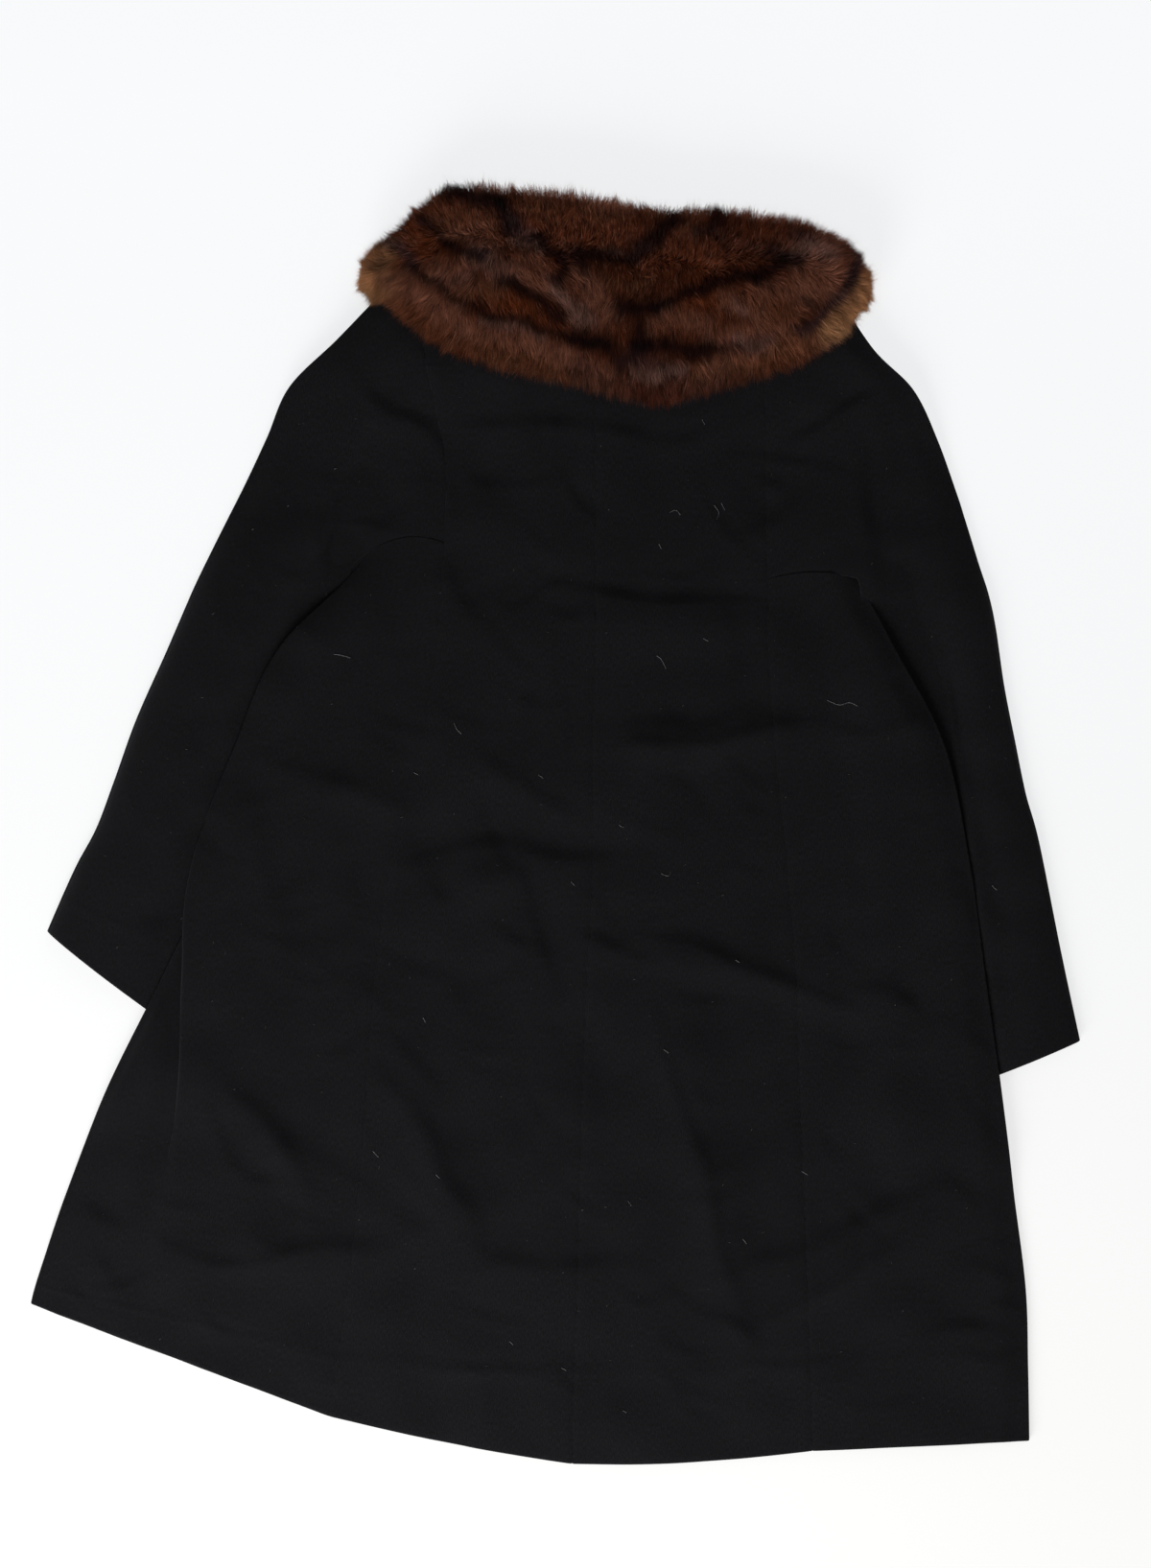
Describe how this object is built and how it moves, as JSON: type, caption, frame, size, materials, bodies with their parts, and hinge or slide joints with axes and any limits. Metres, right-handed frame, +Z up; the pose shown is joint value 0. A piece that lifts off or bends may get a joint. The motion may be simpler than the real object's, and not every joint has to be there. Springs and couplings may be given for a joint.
{
  "type": "fur-collar coat",
  "caption": "Flared black wool coat with raglan sleeves, princess seams and a brown fur shawl collar, laid flat on its front with the back up.",
  "frame": {"origin": "centre of the bounding box on the surface that the coat lies on", "axes": "+Y from the hem towards the neck, +X across the back to the wearer's right, +Z up from the surface"},
  "size_m": [0.8719, 1.0607, 0.0528],
  "materials": {
    "cloth": "black napped wool coating, matt with a faint sheen",
    "fur": "brown mink-type fur in let-out strips, glossy guard hair"
  },
  "bodies": {
    "root": {"back_left": "cloth", "back_right": "cloth", "side_back_left": "cloth", "side_back_right": "cloth", "sleeve_back_left": "cloth", "sleeve_back_right": "cloth", "front_left": "cloth", "front_right": "cloth", "side_front_left": "cloth", "side_front_right": "cloth", "sleeve_front_left": "cloth", "sleeve_front_right": "cloth", "fur_collar_back": "fur", "fur_collar_front_left": "fur", "fur_collar_front_right": "fur"}
  },
  "joints": []
}
